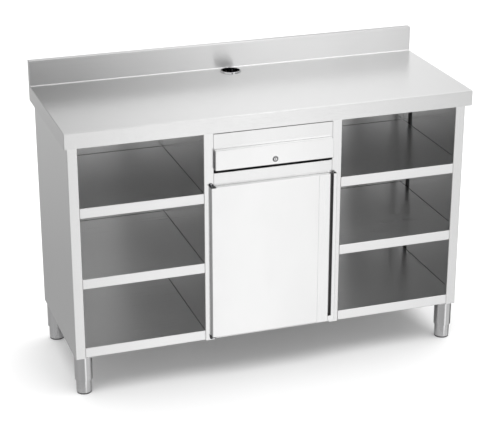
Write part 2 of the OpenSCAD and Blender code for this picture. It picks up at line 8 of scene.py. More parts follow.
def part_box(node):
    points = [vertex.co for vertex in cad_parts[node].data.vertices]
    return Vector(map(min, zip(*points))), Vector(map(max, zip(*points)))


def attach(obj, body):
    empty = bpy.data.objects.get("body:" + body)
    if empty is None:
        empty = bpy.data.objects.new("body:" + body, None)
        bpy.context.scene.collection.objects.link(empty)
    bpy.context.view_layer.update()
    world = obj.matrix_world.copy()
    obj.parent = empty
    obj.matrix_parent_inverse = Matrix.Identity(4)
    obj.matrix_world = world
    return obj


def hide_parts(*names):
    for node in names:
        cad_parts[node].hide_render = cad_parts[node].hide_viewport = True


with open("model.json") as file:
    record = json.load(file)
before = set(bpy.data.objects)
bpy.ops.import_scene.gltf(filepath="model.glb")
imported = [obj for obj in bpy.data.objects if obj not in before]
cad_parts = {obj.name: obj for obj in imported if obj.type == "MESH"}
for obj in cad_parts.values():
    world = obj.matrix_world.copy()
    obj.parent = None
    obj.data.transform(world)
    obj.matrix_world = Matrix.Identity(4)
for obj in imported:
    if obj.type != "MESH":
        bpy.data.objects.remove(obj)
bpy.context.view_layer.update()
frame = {"nodes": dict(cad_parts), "record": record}
nodes = frame["nodes"]
slot_of = {part["node"]: part["material_slot"] for part in frame["record"]["subparts"]}
body_of = {node: body for body, members in frame["record"]["behaviour"]["bodies"].items()
           for node in members}

MM = 0.001


def span(node, axis):
    """Where a solid starts and ends along an axis, in millimetres to the hundredth."""
    side = "XYZ".index(axis)
    return [round(corner[side] / MM, 2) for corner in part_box(node)]


def middle(node, axis):
    """The middle of a solid's box along an axis, in millimetres."""
    return sum(span(node, axis)) / 2


# ---- places on the counter, in millimetres ----

UPSTAND_HEIGHT = 95
UPSTAND_DEPTH = 23
COVE = 2.5              # radius of the fold in front of the upstand
TOP_Z = span("worktop", "Z")[1] - UPSTAND_HEIGHT
UPSTAND_Y = span("worktop", "Y")[1] - UPSTAND_DEPTH
BODY_Y, BACK_Y = span("left_lower_shelf", "Y")          # from the body's front to the back panel
OPENING_X, PARTITION_X = span("right_partition", "X")   # the partition's faces, in and out
SIDE_X = span("right_lower_shelf", "X")[1]              # inner face of the side panel
FRONT_Y = span("door_skin", "Y")[0]                     # front of the door and of the drawer
DOOR_BOTTOM, DOOR_TOP = span("door_skin", "Z")
SKIN_EDGE = span("door_skin", "X")[1]                   # where the door's panel ends
GRIP_START, GRIP_END = span("door_grip", "X")
RIM_WIDTH = 14.5        # from the finger slot to the end of the grip strip
SLOT_WIDTH = 12.2
DRAWER_TOP = span("drawer_front_skin", "Z")[1]
SHELF_Z = span("left_lower_shelf", "Z")[1]
SHELF_RISES = {level: span("left_" + level + "_shelf", "Z")[1] - SHELF_Z
               for level in ("lower", "middle", "upper")}

# ---- folds and roundings, in millimetres ----

MERGE_WITHIN = 0.00001  # metres
CUT_EDGE = 1.6          # a face narrower than this is the sheet's own thickness
FOLD_OUTSIDE = 1.8
FOLD_INSIDE = 0.7
FOLD_SEGMENTS = 4
CORNER_SEGMENTS = 3
EDGE_SEGMENTS = 2
ROUND_SIDES = 64
FLAT_ANGLE = math.radians(0.3)
FOLD_ANGLE = math.radians(60)
SMOOTH_ANGLE = math.radians(35)
SHARP_ANGLE = math.radians(50)

# ---- camera, floor and lamp ----

CAMERA_PLACE = (-1.725, -5.055, 2.667)
CAMERA_HEADING = 18.86  # degrees from +Y towards +X
CAMERA_TILT = 21.96     # degrees below the horizon
CAMERA_ROLL = 0.06
CAMERA_LENS = 111.18
SENSOR_WIDTH = 36.0

FLOOR_SIZE = 60.0
FLOOR_DROP = 0.0005
FLOOR_COLOUR = (0.80, 0.80, 0.80, 1)
FLOOR_GLOW = 0.08
PATCH_SIZE = (1.7, 0.8)         # the part of the floor that the steel reflects
PATCH_FADE_X = (0.66, 0.80)     # where it fades out, from its middle
PATCH_FADE_Y = (0.20, 0.36)
# The patch's colour is darker than the floor's: painted shade in what the steel mirrors.
PATCH_SHADE_COLOUR = (0.62, 0.62, 0.62, 1)
LAMP_LEVEL = 2.4
LAMP_WIDTH = 70.0       # degrees
LAMP_HEIGHT = 4.0

# ---- studio ----

# A wall's level is that of its left end, and its steps say where the level starts and ends to
# change, from -1 on the left to 1 on the right, and by how much.
LOW_FRONT_LEVEL = 0.49
LOW_FRONT_STEPS = ((0.02, 0.34, 0.97), (0.35, 0.47, -0.72))
HIGH_FRONT_LEVEL = 0.85
HIGH_FRONT_STEPS = ((-0.20, 0.08, -0.65), (0.18, 0.39, 1.7), (0.37, 0.50, -1.5))
LOW_BACK_STEPS = ((-0.25, 0.05, -0.25),)
HIGH_BACK_LEVEL = 0.45
HIGH_BACK_STEPS = ((0.08, 0.33, 0.70), (0.36, 0.56, -0.34))
CEILING_LEVEL = 0.55
CEILING_STEPS = ((0.05, 0.35, 0.9),)

# Heights run from -1 straight down to 1 straight up. These say between which two something
# changes, and from what to what if that isn't from 0 to 1.
HIGH_WALLS = (-0.2, 0.2)
HIGH_FRONT_GAIN = (0.26, 0.42, 1.0, 1.35)
LOW_BACK_LEVEL = (-0.42, -0.28, 0.45, 0.60)
CEILING = (0.55, 0.85)
GROUND = (-0.66, -0.86)
GROUND_SHADE = 0.85
FRONT_HALF = (0.25, -0.25)      # the same along Y, from the back to the front
SHORTEST = 0.0001               # spares straight up and straight down a division by 0


# ---- node trees ----

class Wire:
    """A socket of a node tree. Arithmetic on it adds Math nodes."""

    def __init__(self, tree, socket):
        self.tree = tree
        self.socket = socket

    def math(self, operation, *values):
        return self.tree.node("ShaderNodeMath", {"operation": operation}, dict(enumerate(values)))

    def __add__(self, other):
        return self.math("ADD", self, other)

    def __sub__(self, other):
        return self.math("SUBTRACT", self, other)

    def __rsub__(self, other):
        return self.math("SUBTRACT", other, self)

    def __mul__(self, other):
        return self.math("MULTIPLY", self, other)

    def __truediv__(self, other):
        return self.math("DIVIDE", self, other)

    def __pow__(self, other):
        return self.math("POWER", self, other)

    def __gt__(self, other):
        return self.math("GREATER_THAN", self, other)

    __radd__ = __add__
    __rmul__ = __mul__

    def ramp(self, low, high, start=0.0, end=1.0):
        """Turns low to high into start to end, with soft ends."""
        return self.tree.node("ShaderNodeMapRange", {"interpolation_type": "SMOOTHSTEP"}, {
            "Value": self, "From Min": low, "From Max": high, "To Min": start, "To Max": end})

    def most(self, other):
        return self.math("MAXIMUM", self, other)

    def size(self):
        return self.math("ABSOLUTE", self)


class Tree:
    """The nodes of a material or of the world."""

    def __init__(self, owner):
        owner.use_nodes = True
        self.tree = owner.node_tree

    def node(self, kind, settings, sockets, output=0):
        made = self.tree.nodes.new(kind)
        for name, value in settings.items():
            setattr(made, name, value)
        for name, value in sockets.items():
            self.join(value, made.inputs[name])
        return Wire(self, made.outputs[output])

    def join(self, value, socket):
        if isinstance(value, Wire):
            self.tree.links.new(value.socket, socket)
        else:
            socket.default_value = value

    def parts(self, vector):
        """The three numbers of a vector."""
        split = self.node("ShaderNodeSeparateXYZ", {}, {"Vector": vector}).socket.node
        return [Wire(self, split.outputs[axis]) for axis in "XYZ"]

    def blend(self, factor, first, second):
        return self.node("ShaderNodeMix", {"data_type": "RGBA"}, {0: factor, 6: first, 7: second}, 2)


class Finish(Tree):
    """A material with one Principled shader."""

    def __init__(self, name, **sockets):
        self.material = bpy.data.materials.new(name)
        super().__init__(self.material)
        self.shader = self.tree.nodes["Principled BSDF"]
        self.set(sockets)

    def set(self, sockets):
        for name, value in sockets.items():
            self.join(value, self.shader.inputs[name.replace("_", " ")])

    def place(self):
        return self.node("ShaderNodeTexCoord", {}, {}, "Object")

    def facing(self):
        return self.node("ShaderNodeTexCoord", {}, {}, "Normal")

    def stretched(self, vector, scale):
        return self.node("ShaderNodeMapping", {"vector_type": "POINT"}, {
            "Vector": vector, "Scale": scale})

    def noise(self, vector, scale, detail, rough):
        return self.node("ShaderNodeTexNoise", {}, {
            "Vector": vector, "Scale": scale, "Detail": detail, "Roughness": rough})

    def bump(self, height, distance):
        return self.node("ShaderNodeBump", {}, {
            "Height": height, "Distance": distance, "Strength": 1.0})

    def tinted(self, colour, shade):
        """The colour times a grey shade, which is a number or a wire."""
        grey = self.node("ShaderNodeCombineXYZ", {}, {0: shade, 1: shade, 2: shade})
        return self.node("ShaderNodeVectorMath", {"operation": "MULTIPLY"}, {0: colour, 1: grey})


# ---- finishes ----

LINES_ACROSS = 620.0    # brush lines per metre, across the grain
LINES_ALONG = 9.0       # and along it
END_ON = 0.7            # how far a face's normal points along the grain that runs into it
FOLD_BEND = (0.80, 0.99, 1.0, 0.0)  # 1 on a fold, 0 on a face square to an axis
DARK_CHIP = (0.48, 0.48, 0.48, 1)
LIGHT_CHIP = (0.62, 0.62, 0.62, 1)


def grain_lines(finish, grain, along):
    """Fine lines along grain. On faces that the grain runs into they run along another axis."""
    lines = {axis: tuple(along if a == axis else LINES_ACROSS for a in "XYZ") for axis in "XYZ"}
    other = "Z" if grain == "Y" else "Y"
    place = finish.place()
    main = finish.noise(finish.stretched(place, lines[grain]), 1.0, detail=3.0, rough=0.6)
    crossed = finish.noise(finish.stretched(place, lines[other]), 1.0, detail=3.0, rough=0.6)
    end_on = finish.parts(finish.facing())["XYZ".index(grain)].size() > END_ON
    return end_on * crossed + (1 - end_on) * main


def brushed_steel(name, grain, colour, roughness, depth=0.00006, streak=0.0, along=LINES_ALONG):
    """Satin stainless sheet, brushed along grain, with handled folds and faint wipe marks."""
    finish = Finish(name, Metallic=1.0, Anisotropic=streak, Anisotropic_Rotation=0.25)
    place = finish.place()
    lines = grain_lines(finish, grain, along)
    cloud = finish.noise(place, 2.6, detail=3.0, rough=0.6)
    wiped = finish.noise(finish.stretched(place, (7.0, 7.0, 3.0)), 1.0, detail=4.0, rough=0.65)
    x, y, z = finish.parts(finish.facing())
    bend = x.size().most(y.size()).most(z.size()).ramp(*FOLD_BEND)
    rough = (roughness + 0.10 * (lines - 0.5) + 0.06 * (cloud - 0.5) + 0.05 * (wiped - 0.5)
             - 0.05 * bend)
    shade = 1.0 + 0.05 * (lines - 0.5) + 0.025 * (cloud - 0.5) + 0.03 * bend
    finish.set({"Base Color": finish.tinted(colour, shade), "Roughness": rough,
                "Normal": finish.bump(lines, depth)})
    return finish.material


def mill_steel(name, colour):
    """The dull unbrushed side of stainless sheet."""
    finish = Finish(name, Metallic=1.0)
    mottle = finish.noise(finish.place(), 90.0, detail=4.0, rough=0.6)
    cloud = finish.noise(finish.place(), 6.0, detail=2.0, rough=0.5)
    shade = 1.0 + 0.14 * (mottle - 0.5) + 0.10 * (cloud - 0.5)
    finish.set({"Base Color": finish.tinted(colour, shade),
                "Roughness": 0.42 + 0.14 * (mottle - 0.5),
                "Normal": finish.bump(mottle, 0.00003)})
    return finish.material


def zinc_plate(name, colour):
    finish = Finish(name, Metallic=1.0)
    spangle = finish.noise(finish.place(), 260.0, detail=3.0, rough=0.6)
    cloud = finish.noise(finish.place(), 22.0, detail=2.0, rough=0.5)
    shade = 1.0 + 0.16 * (spangle - 0.5) + 0.12 * (cloud - 0.5)
    finish.set({"Base Color": finish.tinted(colour, shade),
                "Roughness": 0.34 + 0.18 * (spangle - 0.5),
                "Normal": finish.bump(spangle, 0.00002)})
    return finish.material


def polished_chrome(name, colour):
    finish = Finish(name, Metallic=1.0)
    swirl = finish.noise(finish.place(), 700.0, detail=3.0, rough=0.6)
    finish.set({"Base Color": finish.tinted(colour, 1.0 + 0.06 * (swirl - 0.5)),
                "Roughness": 0.10 + 0.08 * (swirl - 0.5),
                "Normal": finish.bump(swirl, 0.000004)})
    return finish.material


def moulded_plastic(name, colour, roughness):
    finish = Finish(name)
    texture = finish.noise(finish.place(), 1400.0, detail=2.0, rough=0.5)
    cloud = finish.noise(finish.place(), 40.0, detail=2.0, rough=0.5)
    finish.set({"Base Color": finish.tinted(colour, 1.0 + 0.12 * (cloud - 0.5)),
                "Roughness": roughness + 0.16 * (texture - 0.5),
                "Normal": finish.bump(texture, 0.00003)})
    return finish.material


def pressed_chipboard(name):
    finish = Finish(name, Roughness=0.8)
    place = finish.place()
    chips = finish.node("ShaderNodeTexVoronoi", {"feature": "F1"}, {
        "Vector": place, "Scale": 260.0}, "Color")
    tone = finish.parts(chips)[0]
    fibre = finish.noise(finish.stretched(place, (300.0, 900.0, 900.0)), 1.0, detail=3.0, rough=0.6)
    finish.set({"Base Color": finish.blend(tone.ramp(0.1, 0.9), DARK_CHIP, LIGHT_CHIP),
                "Normal": finish.bump(tone * 0.6 + fibre * 0.4, 0.0003)})
    return finish.material


worktop_steel = brushed_steel("worktop_steel", "X", (0.69, 0.69, 0.69), 0.19, depth=0.0002)
# The upstand is the worktop's own sheet. Its rougher, streaked brushing is real, and its slightly darker
# colour is painted shade.
upstand_steel = brushed_steel("upstand_steel", "X", (0.66, 0.66, 0.66), 0.305,
                              depth=0.00001, streak=0.95)
# A lighter, glossier copy of the worktop's steel for the fold in front of the upstand: a painted
# highlight along that fold.
cove_highlight_steel = brushed_steel("cove_highlight_steel", "X", (0.87, 0.87, 0.87), 0.22)
# A near-white, glossier copy of the front steel for the drawer's top lip: a painted highlight.
ledge_highlight_steel = brushed_steel("ledge_highlight_steel", "X", (0.97, 0.97, 0.97), 0.13)
body_steel = brushed_steel("body_steel", "Z", (0.75, 0.75, 0.75), 0.24)
shelf_steel = brushed_steel("shelf_steel", "X", (0.82, 0.82, 0.82), 0.30,
                            depth=0.00005, along=1.5)
front_steel = brushed_steel("front_steel", "Z", (0.76, 0.76, 0.76), 0.22)
# The legs' and feet's steel is darker than the other steel: painted shade for the shadowed floor that
# they mirror.
leg_steel = brushed_steel("leg_steel", "Z", (0.66, 0.66, 0.665), 0.16)
# The inside of the door's finger slot. Its dull mill finish is real, and its dark colour is painted
# shade.
slot_shade_steel = mill_steel("slot_shade_steel", (0.30, 0.30, 0.30))
weld_steel = mill_steel("weld_steel", (0.60, 0.60, 0.60))
zinc_steel = zinc_plate("zinc_steel", (0.60, 0.61, 0.63))
lock_chrome = polished_chrome("lock_chrome", (0.62, 0.62, 0.625))
# A darkened copy of the lock's chrome for its bezel: painted shade round the lock.
bezel_shade_chrome = polished_chrome("bezel_shade_chrome", (0.27, 0.27, 0.275))
rim_steel = polished_chrome("rim_steel", (0.72, 0.72, 0.73))
black_steel = moulded_plastic("black_steel", (0.02, 0.02, 0.022), 0.35)
board_wood = pressed_chipboard("board_wood")
black_plastic = moulded_plastic("black_plastic", (0.035, 0.035, 0.038), 0.45)
white_plastic = moulded_plastic("white_plastic", (0.82, 0.82, 0.80), 0.30)
pad_rubber = moulded_plastic("pad_rubber", (0.03, 0.03, 0.03), 0.70)
# A dark finish for strips of painted shade in seams and corners.
painted_shade_strip = moulded_plastic("painted_shade_strip", (0.11, 0.11, 0.11), 0.60)
slot_finishes = {
    "worktop_steel": worktop_steel, "body_steel": body_steel, "shelf_steel": shelf_steel,
    "front_steel": front_steel, "leg_steel": leg_steel, "zinc_steel": zinc_steel,
    "lock_chrome": lock_chrome, "black_steel": black_steel, "board_wood": board_wood,
    "black_plastic": black_plastic, "white_plastic": white_plastic, "pad_rubber": pad_rubber}


# ---- modelling, in millimetres ----

def only(piece):
    """Selects one piece and nothing else."""
    bpy.ops.object.select_all(action="DESELECT")
    piece.select_set(True)
    bpy.context.view_layer.objects.active = piece


def editing():
    bpy.ops.object.mode_set(mode="EDIT")


def leave():
    bpy.ops.object.mode_set(mode="OBJECT")


def settle(piece):
    """Puts a new primitive's place into its mesh."""
    only(piece)
    bpy.ops.object.transform_apply(location=True, rotation=True, scale=True)


def pick_edges(piece, keys):
    """Selects the edges that have these keys, and starts edit mode."""
    only(piece)
    mesh = piece.data
    for group in (mesh.vertices, mesh.edges, mesh.polygons):
        group.foreach_set("select", [False] * len(group))
    bpy.context.tool_settings.mesh_select_mode = (False, True, False)
    for edge in mesh.edges:
        edge.select = edge.key in keys
    editing()


def everything(piece):
    """Selects all of a piece's mesh, and starts edit mode."""
    only(piece)
    bpy.context.tool_settings.mesh_select_mode = (True, False, False)
    editing()
    bpy.ops.mesh.select_all(action="SELECT")


def bevel(width, segments, affect="EDGES"):
    bpy.ops.mesh.bevel(offset=width * MM, segments=segments, affect=affect, clamp_overlap=True)


def tidy(piece):
    """Merges doubles and turns every face outwards."""
    everything(piece)
    bpy.ops.mesh.remove_doubles(threshold=MERGE_WITHIN)
    bpy.ops.mesh.normals_make_consistent(inside=False)
    leave()


def smooth(piece):
    only(piece)
    bpy.ops.object.shade_smooth_by_angle(angle=SMOOTH_ANGLE)
    weighted = piece.modifiers.new("weighted", "WEIGHTED_NORMAL")
    weighted.keep_sharp = True
    bpy.ops.object.modifier_apply(modifier=weighted.name)


def fit(piece, finish, node):
    """Gives a finished piece its material, and the body of the CAD node that it stands for."""
    smooth(piece)
    piece.data.materials.clear()
    piece.data.materials.append(finish)
    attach(piece, body_of[node])
    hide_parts(node)
    return piece


def turned(name, steps):
    """A round solid on the Z axis: a disc at the first (radius, height), drawn out to each next one."""
    radius, height = steps[0]
    bpy.ops.object.select_all(action="DESELECT")
    bpy.ops.mesh.primitive_circle_add(vertices=ROUND_SIDES, radius=radius * MM, fill_type="NGON",
                                      location=(0, 0, height * MM))
    piece = bpy.context.object
    piece.name = piece.data.name = name
    settle(piece)
    everything(piece)
    for next_radius, next_height in steps[1:]:
        step = (0, 0, (next_height - height) * MM)
        bpy.ops.mesh.extrude_region_move(TRANSFORM_OT_translate={"value": step})
        ratio = next_radius / radius
        bpy.ops.transform.resize(value=(ratio, ratio, 1), center_override=(0, 0, next_height * MM))
        radius, height = next_radius, next_height
    leave()
    tidy(piece)
    return piece


def lathed(name, section, rounding, sides=ROUND_SIDES):
    """A closed ring on the Z axis, spun from a flat section of (radius, height) corners."""
    bpy.ops.object.select_all(action="DESELECT")
    bpy.ops.mesh.primitive_plane_add(size=1)
    piece = bpy.context.object
    piece.name = piece.data.name = name
    everything(piece)
    bpy.ops.mesh.merge(type="CENTER")
    radius, height = section[0]
    bpy.ops.transform.translate(value=(radius * MM, 0, height * MM))
    for next_radius, next_height in section[1:]:
        step = ((next_radius - radius) * MM, 0, (next_height - height) * MM)
        bpy.ops.mesh.extrude_region_move(TRANSFORM_OT_translate={"value": step})
        radius, height = next_radius, next_height
    bpy.ops.mesh.select_all(action="SELECT")
    bpy.ops.mesh.edge_face_add()
    bevel(rounding, CORNER_SEGMENTS, "VERTICES")
    bpy.ops.mesh.select_all(action="SELECT")
    bpy.ops.mesh.delete(type="ONLY_FACE")
    bpy.ops.mesh.select_all(action="SELECT")
    bpy.ops.mesh.spin(steps=sides, angle=2 * math.pi, center=(0, 0, 0), axis=(0, 0, 1))
    leave()
    tidy(piece)
    return piece


def block(name, low, high, rounding):
    """A square-cornered block with softened edges."""
    bpy.ops.object.select_all(action="DESELECT")
    bpy.ops.mesh.primitive_cube_add(size=1, location=[(a + b) / 2 * MM for a, b in zip(low, high)])
    piece = bpy.context.object
    piece.name = piece.data.name = name
    piece.scale = [(b - a) * MM for a, b in zip(low, high)]
    settle(piece)
    everything(piece)
    bevel(rounding, CORNER_SEGMENTS)
    leave()
    return piece


def placed(piece, place, lean=0):
    """Leans a new piece over from upright, in degrees about X, and puts it in its place."""
    piece.rotation_euler = (math.radians(lean), 0, 0)
    piece.location = Vector(place) * MM
    settle(piece)
    return piece


def copied(piece, name, shift):
    """Another one of a finished piece, with its own mesh."""
    twin = bpy.data.objects.new(name, piece.data.copy())
    twin.data.transform(Matrix.Translation(Vector(shift) * MM))
    bpy.context.scene.collection.objects.link(twin)
    return twin


def joined(pieces):
    """Makes one piece of several, named as the first one."""
    only(pieces[0])
    for piece in pieces[1:]:
        piece.select_set(True)
    bpy.ops.object.join()
    return pieces[0]


def cut_out(piece, tool):
    """Cuts a tool's shape out of a piece."""
    only(piece)
    cutter = piece.modifiers.new("cut", "BOOLEAN")
    cutter.object = tool
    cutter.solver = "EXACT"
    bpy.ops.object.modifier_apply(modifier=cutter.name)
    bpy.data.objects.remove(tool)
    tidy(piece)
    return piece


# ---- folded sheets ----

def narrow(mesh, polygon):
    """Whether a face is only as wide as the sheet is thick."""
    corners = [mesh.vertices[k].co for k in polygon.vertices]
    round_it = sum((a - b).length for a, b in zip(corners, corners[1:] + corners[:1]))
    return 2 * polygon.area / round_it < CUT_EDGE * MM


def fold_edges(piece, outside):
    """The keys of the edges where broad faces meet at a fold, on its outer or inner side."""
    mesh = piece.data
    sides = {}
    for polygon in mesh.polygons:
        for key in polygon.edge_keys:
            sides.setdefault(key, []).append(polygon)
    found = set()
    for key, faces in sides.items():
        if len(faces) != 2 or any(narrow(mesh, face) for face in faces):
            continue
        first, second = faces
        if first.normal.angle(second.normal, 0) < FOLD_ANGLE:
            continue
        rises = (second.center - first.center).dot(first.normal) > 0
        if rises != outside:
            found.add(key)
    return found


def merged_copy(name, node):
    """A copy of a node's solid in which each flat face is one face."""
    piece = bpy.data.objects.new(name + "_" + node, nodes[node].data.copy())
    bpy.context.scene.collection.objects.link(piece)
    everything(piece)
    bpy.ops.mesh.remove_doubles(threshold=MERGE_WITHIN)
    bpy.ops.mesh.customdata_custom_splitnormals_clear()
    bpy.ops.mesh.dissolve_limited(angle_limit=FLAT_ANGLE)
    leave()
    return piece


def folded(node, finish):
    """A sheet-metal node with its folds rounded, on their outer and then on their inner side."""
    piece = merged_copy("folded", node)
    for outside, radius in ((True, FOLD_OUTSIDE), (False, FOLD_INSIDE)):
        keys = fold_edges(piece, outside)
        if keys:
            pick_edges(piece, keys)
            bevel(radius, FOLD_SEGMENTS)
            leave()
    return fit(piece, finish, node)


def softened(node, finish, width):
    """A small solid node with its sharp edges rounded."""
    piece = merged_copy("softened", node)
    everything(piece)
    bpy.ops.mesh.select_all(action="DESELECT")
    bpy.context.tool_settings.mesh_select_mode = (False, True, False)
    bpy.ops.mesh.edges_select_sharp(sharpness=SHARP_ANGLE)
    bevel(width, EDGE_SEGMENTS)
    leave()
    return fit(piece, finish, node)


SHEETS = {
    "worktop": worktop_steel, "left_side_panel": body_steel, "right_side_panel": body_steel,
    "left_partition": body_steel, "right_partition": body_steel, "back_panel": body_steel,
    "left_upper_shelf": shelf_steel, "left_middle_shelf": shelf_steel, "left_lower_shelf": shelf_steel,
    "right_upper_shelf": shelf_steel, "right_middle_shelf": shelf_steel, "right_lower_shelf": shelf_steel,
    "cabinet_floor": shelf_steel, "shelf_stiffeners": shelf_steel, "left_top_rail": body_steel,
    "right_top_rail": body_steel, "rear_top_rail": body_steel, "drawer_fascia": body_steel,
    "middle_rail": body_steel, "drawer_front_skin": front_steel, "drawer_front_liner": front_steel,
    "drawer_tray": front_steel, "door_skin": front_steel, "door_liner": front_steel,
    "door_grip": front_steel, "slide_brackets": zinc_steel, "slide_outer_members": zinc_steel,
    "slide_middle_members": zinc_steel, "slide_inner_members": zinc_steel,
    "pivot_brackets": black_steel, "door_strike": zinc_steel}
sheets = {node: folded(node, finish) for node, finish in SHEETS.items()}


def refinish(piece, finish, test):
    """Gives another finish to the faces for which test is true of their middle, in millimetres."""
    piece.data.materials.append(finish)
    for face in piece.data.polygons:
        if test(face.center / MM):
            face.material_index = len(piece.data.materials) - 1


CLEAR = 0.02            # tells a face of a rounded stretch from the flat face beside it
LEDGE = 0.05            # how far the painted highlight on the drawer's upper edge reaches down
SLOT_EDGE = 0.5         # reach of the rounded edge round the finger slot
slot_end = GRIP_END - RIM_WIDTH
slot_start = slot_end - SLOT_WIDTH


def on_upstand(spot):
    return spot.y > UPSTAND_Y - CLEAR and spot.z > TOP_Z + CLEAR


def in_cove(spot):
    return (UPSTAND_Y - COVE - CLEAR < spot.y < UPSTAND_Y + CLEAR
            and TOP_Z + CLEAR < spot.z < TOP_Z + COVE + CLEAR)


def on_drawer_ledge(spot):
    return spot.z > DRAWER_TOP - LEDGE


def in_finger_slot(spot):
    return (slot_start - SLOT_EDGE < spot.x < slot_end + SLOT_EDGE
            and spot.y > FRONT_Y + SLOT_EDGE and spot.z < DOOR_TOP - SLOT_EDGE)


# The upstand gets the darker steel: painted shade.
refinish(sheets["worktop"], upstand_steel, on_upstand)
# The fold in front of the upstand gets the lighter steel: painted highlight.
refinish(sheets["worktop"], cove_highlight_steel, in_cove)
# The drawer's top lip gets the near-white steel: painted highlight.
refinish(sheets["drawer_front_skin"], ledge_highlight_steel, on_drawer_ledge)
# Painted shade inside the finger slot.
refinish(sheets["door_grip"], slot_shade_steel, in_finger_slot)


# ---- thin strips ----

def repeated(name, low, high, rounding, finish, body, shifts):
    """A thin strip, modelled once and copied to each named shift."""
    pattern = block(name, low, high, rounding)
    smooth(pattern)
    pattern.data.materials.append(finish)
    for place, shift in shifts.items():
        strip = copied(pattern, place + "_" + name, shift)
        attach(strip, body)
    bpy.data.objects.remove(pattern)


# Welds close the seams at both ends of each cross piece, flush with its front.
SEAM = 0.3
WELD_DEPTH = 1.4
WELD_ROUNDING = 0.1
WELD_X = (-OPENING_X - 2.4, -OPENING_X + 0.25)      # lies behind the upright's rounded edge
WELD_SHIFTS = {"left": (0, 0, 0), "right": (-sum(WELD_X), 0, 0)}
for weld_name, cross_piece in (("fascia_weld", "drawer_fascia"), ("middle_rail_weld", "middle_rail")):
    bottom, top = span(cross_piece, "Z")
    repeated(weld_name, (WELD_X[0], BODY_Y, bottom + SEAM), (WELD_X[1], BODY_Y + WELD_DEPTH, top - SEAM),
             WELD_ROUNDING, weld_steel, "carcass", WELD_SHIFTS)

# Strips of painted shade run where the shelves meet the upright panels, and dark strips of
# painted shade stand on the inner faces of the side panels.
STRIP = 0.8             # a joint's width, and how far joints and dark strips stand off a panel
STRIP_ROUNDING = 0.2
JOINT_Y = (BODY_Y + 6, BACK_Y - 0.7)                # stops short of both ends of the shelf
DARK_Y = (184, 216)
DARK_TOP = span("left_middle_shelf", "Z")[0] - 0.6
PANEL_FACES = {"left_outer": 0, "left_inner": SIDE_X - PARTITION_X - STRIP,
               "right_inner": SIDE_X + PARTITION_X, "right_outer": 2 * SIDE_X - STRIP}
joint_shifts = {side + "_" + level: (across, 0, rise)
                for side, across in PANEL_FACES.items() for level, rise in SHELF_RISES.items()}
side_shifts = {place: shift for place, shift in joint_shifts.items() if "outer" in place}
repeated("shelf_joint", (-SIDE_X, JOINT_Y[0], SHELF_Z), (-SIDE_X + STRIP, JOINT_Y[1], SHELF_Z + STRIP),
         STRIP_ROUNDING, painted_shade_strip, "carcass", joint_shifts)
repeated("dark_strip", (-SIDE_X, DARK_Y[0], SHELF_Z + STRIP), (-SIDE_X + STRIP, DARK_Y[1], DARK_TOP),
         STRIP_ROUNDING, painted_shade_strip, "carcass", side_shifts)

# One more strip of painted shade fills the seam between the door's panel and its grip strip, and stands a
# hair proud.
DOOR_JOINT_LAP = 0.1
DOOR_JOINT_Y = (FRONT_Y - 0.06, FRONT_Y + 0.2)
DOOR_JOINT_Z = (DOOR_BOTTOM + 1, DOOR_TOP - 1)
DOOR_JOINT_ROUNDING = 0.05
repeated("joint", (SKIN_EDGE - DOOR_JOINT_LAP, DOOR_JOINT_Y[0], DOOR_JOINT_Z[0]),
         (GRIP_START + DOOR_JOINT_LAP, DOOR_JOINT_Y[1], DOOR_JOINT_Z[1]),
         DOOR_JOINT_ROUNDING, painted_shade_strip, "door", {"door": (0, 0, 0)})

# ---- small solid parts ----

# Each part's finish, and how far its sharp edges are rounded.
SMALL_PARTS = {
    "door_catch": (white_plastic, 1.2),
    "door_buffers": (pad_rubber, 0.35),
    "lock_nut": (zinc_steel, 0.4),
    "lock_cam": (zinc_steel, 0.3),
    "lock_cam_screw": (zinc_steel, 0.4),
    "leg_bolts": (zinc_steel, 0.4),
    "leg_plates": (zinc_steel, 0.5)}
for small_node, (small_finish, small_edge) in SMALL_PARTS.items():
    softened(small_node, small_finish, small_edge)

# ---- legs and levelling feet, as (radius, height) ----

LEGS = {corner: (middle("foot_" + corner, "X"), middle("foot_" + corner, "Y"))
        for corner in ("front_left", "front_right", "rear_left", "rear_right")}
LEG_RADIUS = 32
LEG_BORE = 30.5
STEM_HOLE = 8.05
INSERT_SIDES = 32
FOOT_STEPS = [(26.3, 4), (27.2, 4.4), (27.8, 5.5), (27.8, 51.4), (27.5, 52.3), (26.8, 52.7),
              (8, 52.7), (8, 116.5), (6.5, 118)]
PAD_STEPS = [(26, 0), (26.7, 0.3), (27, 1), (27, 3), (26.7, 3.7), (26, 4)]


def ring_section(inside, outside, bottom, top):
    return [(inside, bottom), (outside, bottom), (outside, top), (inside, top)]


def at_each_leg(pattern):
    """Copies a shape from the middle of the counter to each leg."""
    name = pattern.name
    copies = {corner: copied(pattern, name + "_" + corner, (x, y, 0))
              for corner, (x, y) in LEGS.items()}
    bpy.data.objects.remove(pattern)
    return copies


tube_section = ring_section(LEG_BORE, LEG_RADIUS, *span("leg_tubes", "Z"))
insert_section = ring_section(STEM_HOLE, LEG_BORE, *span("leg_thread_inserts", "Z"))
tubes = at_each_leg(lathed("leg_tube", tube_section, rounding=0.5))
fit(joined(list(tubes.values())), leg_steel, "leg_tubes")
inserts = at_each_leg(lathed("thread_insert", insert_section, rounding=0.6, sides=INSERT_SIDES))
fit(joined(list(inserts.values())), black_plastic, "leg_thread_inserts")
for corner, barrel in at_each_leg(turned("foot_barrel", FOOT_STEPS)).items():
    fit(barrel, leg_steel, "foot_" + corner)
for corner, pad in at_each_leg(turned("floor_pad", PAD_STEPS)).items():
    fit(pad, pad_rubber, "pad_" + corner)

# ---- cable grommet, as (radius, height) ----

